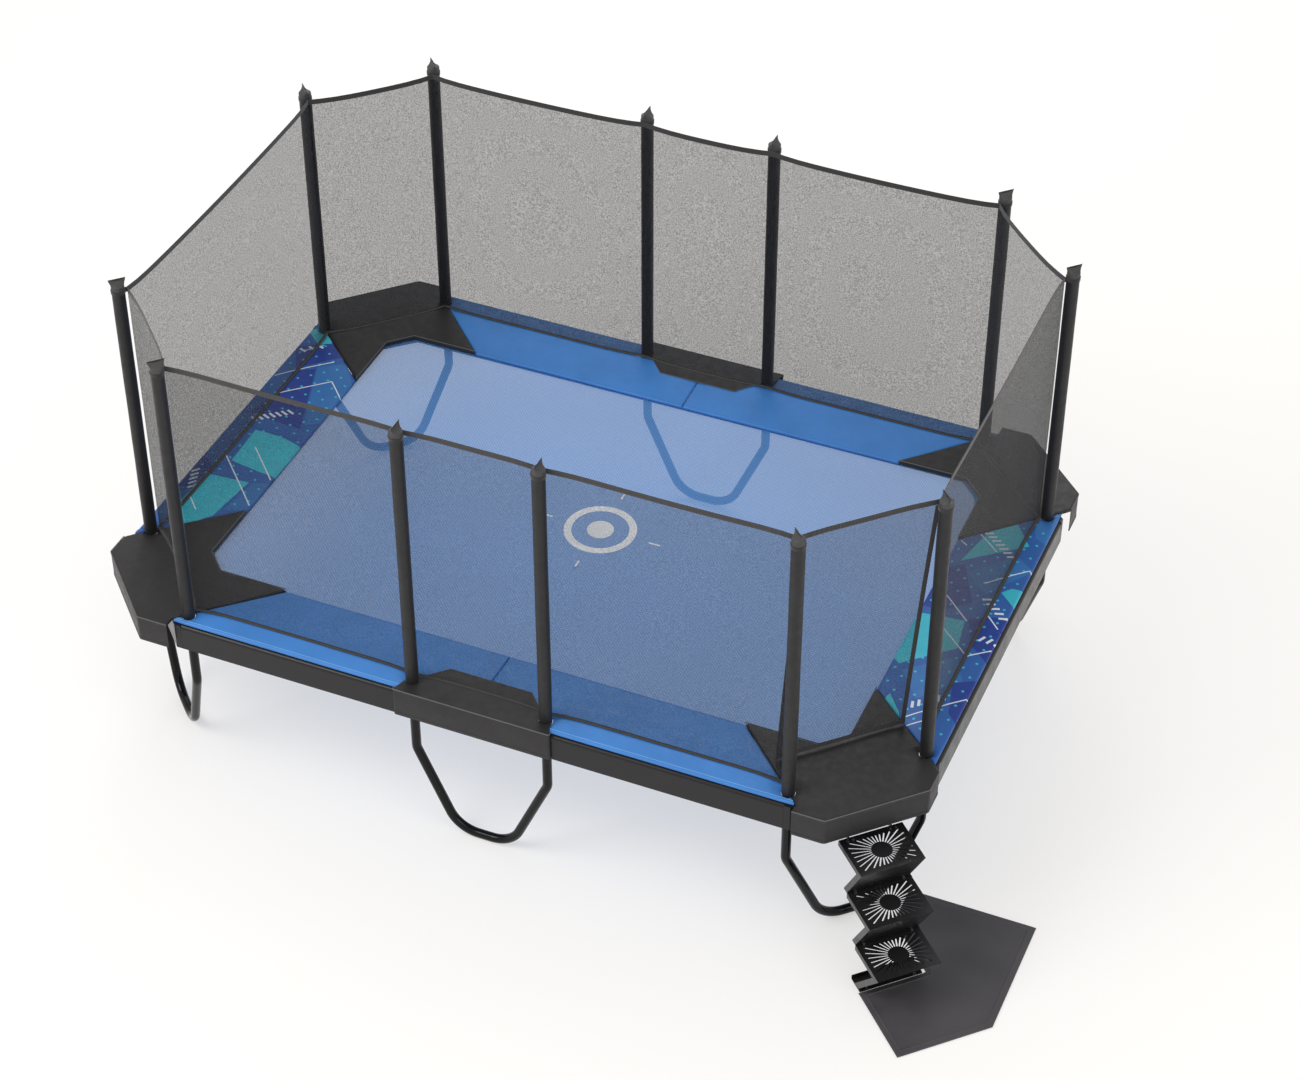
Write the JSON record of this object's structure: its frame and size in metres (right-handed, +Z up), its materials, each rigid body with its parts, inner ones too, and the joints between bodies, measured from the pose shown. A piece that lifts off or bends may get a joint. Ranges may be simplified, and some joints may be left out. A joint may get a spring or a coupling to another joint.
{
  "type": "trampoline",
  "caption": "Rectangular garden trampoline with padded springs, net enclosure on twelve poles, six U legs, a hook-on ladder and a ground mat.",
  "frame": {"origin": "middle of the whole footprint, ladder and ground mat included, on the ground", "axes": "+X along the long sides towards the ladder's end, +Y towards the long side away from the ladder, +Z up"},
  "size_m": [4.923, 3.5608, 2.512],
  "materials": {
    "frame_steel": "satin black powder coat",
    "gloss_steel": "gloss black powder coat",
    "ladder_steel": "satin black powder coat",
    "zinc_steel": "zinc plated",
    "black_plastic": "moulded",
    "mat_cloth": "woven polypropylene mesh",
    "webbing": "woven webbing",
    "blue_vinyl": "matt coated cloth over foam",
    "printed_vinyl": "printed coated cloth over foam",
    "black_vinyl": "matt coated cloth over foam",
    "sleeve_cloth": "coated cloth over foam tube",
    "net_cloth": "fine knitted net",
    "mat_rubber": "ribbed moulded rubber"
  },
  "bodies": {
    "frame": {"rail_front_left": "frame_steel", "rail_back_left": "frame_steel", "rail_front_right": "frame_steel", "rail_back_right": "frame_steel", "corner_rail_front_left": "frame_steel", "corner_rail_back_left": "frame_steel", "corner_rail_front_right": "frame_steel", "corner_rail_back_right": "frame_steel", "rail_left": "frame_steel", "rail_right": "frame_steel", "rail_joiners": "frame_steel", "pole_sockets": "frame_steel", "ladder_bar": "frame_steel", "leg_front_left": "gloss_steel", "leg_back_left": "gloss_steel", "leg_front_right": "gloss_steel", "leg_back_right": "gloss_steel", "leg_front_middle": "gloss_steel", "leg_back_middle": "gloss_steel", "poles": "frame_steel", "rail_bolts": "zinc_steel", "socket_screws": "zinc_steel", "bed_springs": "zinc_steel", "pole_plugs": "black_plastic", "pad_front_left": "blue_vinyl", "pad_back_left": "blue_vinyl", "pad_front_right": "blue_vinyl", "pad_back_right": "blue_vinyl", "pad_left": "printed_vinyl", "pad_right": "printed_vinyl", "corner_cover_front_left": "black_vinyl", "corner_cover_back_left": "black_vinyl", "corner_cover_front_right": "black_vinyl", "corner_cover_back_right": "black_vinyl", "middle_cover_front": "black_vinyl", "middle_cover_back": "black_vinyl", "pole_sleeves": "sleeve_cloth", "net_front": "net_cloth", "net_back": "net_cloth", "net_left": "net_cloth", "net_right": "net_cloth", "net_corner_front_left": "net_cloth", "net_corner_back_left": "net_cloth", "net_corner_back_right": "net_cloth", "top_hem": "webbing", "bottom_hem": "webbing", "net_ties": "webbing", "ground_mat": "mat_rubber"},
    "bed": {"jumping_mat": "mat_cloth", "mat_border": "webbing", "mat_rings": "zinc_steel"},
    "ladder": {"ladder_step_top": "ladder_steel", "ladder_step_middle": "ladder_steel", "ladder_step_bottom": "ladder_steel", "ladder_hangers": "ladder_steel", "ladder_foot": "ladder_steel", "ladder_bolts": "zinc_steel"},
    "flap": {"entrance_flap": "net_cloth", "flap_gusset": "net_cloth"}
  },
  "joints": [
    {"name": "bed_bounce", "type": "slide", "parent": "frame", "child": "bed", "axis": [0, 0, -1], "range_m": [0, 0.25], "stiffness_N_per_m": 6000, "springref_m": -0.02, "deforming": ["bed_springs"]},
    {"name": "ladder_swing", "type": "hinge", "parent": "frame", "child": "ladder", "pos_m": [1.66749, -1.09026, 0.85], "axis": [-0.7071, -0.7071, 0], "range_deg": [0, 30]},
    {"name": "entrance_swing", "type": "hinge", "parent": "frame", "child": "flap", "pos_m": [1.5494, -0.94531, 2.422], "axis": [0.7071, 0.7071, 0], "range_deg": [0, 45]}
  ]
}
